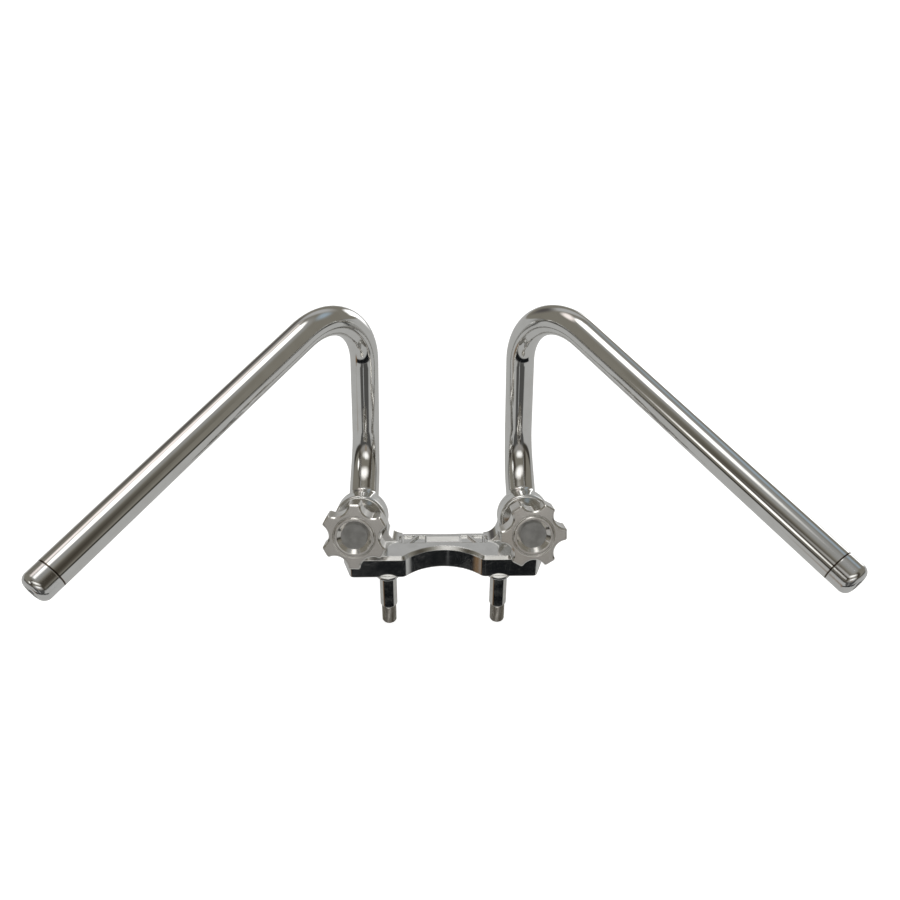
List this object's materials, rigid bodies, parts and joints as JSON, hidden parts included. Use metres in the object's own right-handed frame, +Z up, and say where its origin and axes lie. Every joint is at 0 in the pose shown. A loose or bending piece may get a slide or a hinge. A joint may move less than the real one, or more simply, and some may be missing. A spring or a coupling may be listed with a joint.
{
  "type": "handlebar",
  "caption": "Folding two-piece mini-bike handlebar: bent chromed bars taper-seated in a billet lower holder and clamped by star knobs.",
  "frame": {"origin": "midway between the two studs, in the plane of the stud bosses that rest on the top bridge", "axes": "+Z up along the studs, +X to the rider's right, -Y towards the rider"},
  "size_m": [0.5152, 0.2573, 0.2673],
  "materials": {
    "billet_aluminium": "polished",
    "turned_steel": "turned",
    "chromed_steel": "mirror",
    "spring_steel": "satin",
    "polished_washer": "polished",
    "knob_aluminium": "polished",
    "insert_brass": "machined",
    "satin_disc": "satin",
    "polished_cap": "polished",
    "bush_rubber": "matte"
  },
  "bodies": {
    "holder": {"holder": "billet_aluminium", "left_stud": "turned_steel", "right_stud": "turned_steel"},
    "left_bar": {"left_tube": "chromed_steel", "left_hub": "chromed_steel", "left_stop_pin": "turned_steel", "left_clamp_bolt": "turned_steel", "left_retaining_ring": "spring_steel", "left_bar_end_cap": "polished_cap", "left_bar_end_screw": "turned_steel", "left_bar_end_bush": "bush_rubber", "left_bar_end_nut": "turned_steel"},
    "left_washer": {"left_thrust_washer": "polished_washer"},
    "left_knob": {"left_knob": "knob_aluminium", "left_knob_insert": "insert_brass", "left_knob_cap": "satin_disc"},
    "right_bar": {"right_tube": "chromed_steel", "right_hub": "chromed_steel", "right_stop_pin": "turned_steel", "right_clamp_bolt": "turned_steel", "right_retaining_ring": "spring_steel", "right_bar_end_cap": "polished_cap", "right_bar_end_screw": "turned_steel", "right_bar_end_bush": "bush_rubber", "right_bar_end_nut": "turned_steel"},
    "right_washer": {"right_thrust_washer": "polished_washer"},
    "right_knob": {"right_knob": "knob_aluminium", "right_knob_insert": "insert_brass", "right_knob_cap": "satin_disc"}
  },
  "joints": [
    {"name": "left_fold", "type": "hinge", "parent": "holder", "child": "left_bar", "pos_m": [-0.067, 0.019, 0.0382], "axis": [-0.0541, -0.9381, 0.342], "range_deg": [0, 100]},
    {"name": "left_knob_travel", "type": "slide", "parent": "left_bar", "child": "left_washer", "axis": [-0.0541, -0.9381, 0.342], "range_m": [0, 0.0045]},
    {"name": "left_knob_turn", "type": "hinge", "parent": "left_washer", "child": "left_knob", "pos_m": [-0.067, 0.019, 0.0382], "axis": [-0.0541, -0.9381, 0.342], "range_deg": [0, 1080]},
    {"name": "right_fold", "type": "hinge", "parent": "holder", "child": "right_bar", "pos_m": [0.067, 0.019, 0.0382], "axis": [-0.0541, 0.9381, -0.342], "range_deg": [0, 100]},
    {"name": "right_knob_travel", "type": "slide", "parent": "right_bar", "child": "right_washer", "axis": [0.0541, -0.9381, 0.342], "range_m": [0, 0.0045]},
    {"name": "right_knob_turn", "type": "hinge", "parent": "right_washer", "child": "right_knob", "pos_m": [0.067, 0.019, 0.0382], "axis": [0.0541, -0.9381, 0.342], "range_deg": [0, 1080]}
  ],
  "couplings": [
    {"joint": "left_knob_travel", "follows": "left_knob_turn", "m_per_rad": 0.00023873},
    {"joint": "right_knob_travel", "follows": "right_knob_turn", "m_per_rad": 0.00023873}
  ]
}
